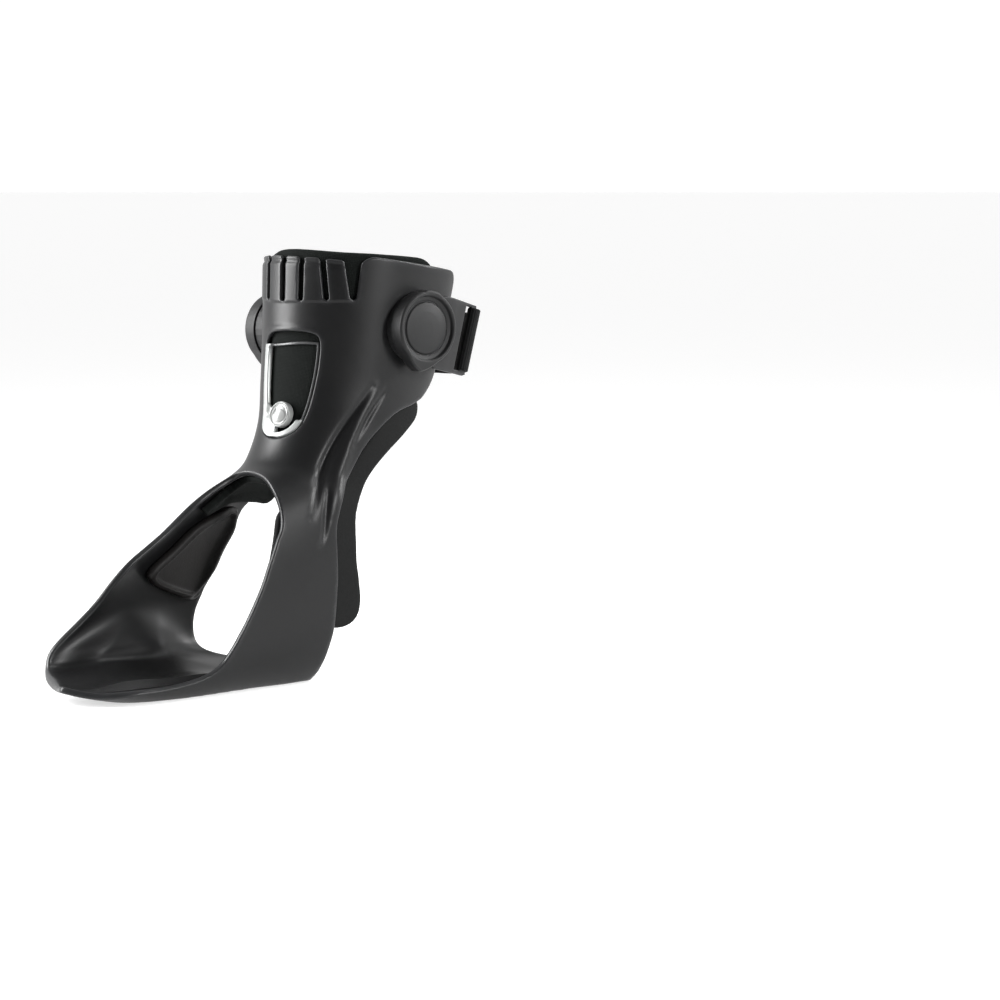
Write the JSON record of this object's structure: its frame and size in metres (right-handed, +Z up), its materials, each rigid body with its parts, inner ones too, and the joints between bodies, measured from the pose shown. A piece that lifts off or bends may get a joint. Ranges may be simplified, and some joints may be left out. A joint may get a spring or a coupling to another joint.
{
  "type": "foot drop brace",
  "caption": "Moulded foot drop brace with a slotted calf cuff, open heel, side strut, foot plate, padded liner, round strap pivots and a calf strap.",
  "frame": {"origin": "middle of the bounds in plan, on the floor under the foot plate", "axes": "-X towards the toes, +X towards the heel and the back of the calf, -Y towards the side with the strut, +Z up the leg"},
  "size_m": [0.2992, 0.1238, 0.2506],
  "materials": {
    "shell_plastic": "satin",
    "liner_fabric": "matte",
    "pad_foam": "matte",
    "frame_silver": "satin",
    "valve_silver": "gloss",
    "strap_webbing": "matte"
  },
  "bodies": {
    "root": {"shell": "shell_plastic", "calf_liner": "liner_fabric", "near_ankle_pad": "pad_foam", "far_ankle_pad": "pad_foam", "window_frame": "frame_silver", "valve_body": "valve_silver", "valve_cap": "valve_silver", "near_pivot_base": "shell_plastic", "near_pivot_cap": "shell_plastic", "near_buckle": "shell_plastic", "far_pivot_base": "shell_plastic", "far_pivot_cap": "shell_plastic", "far_buckle": "shell_plastic", "calf_strap": "strap_webbing"}
  },
  "joints": []
}
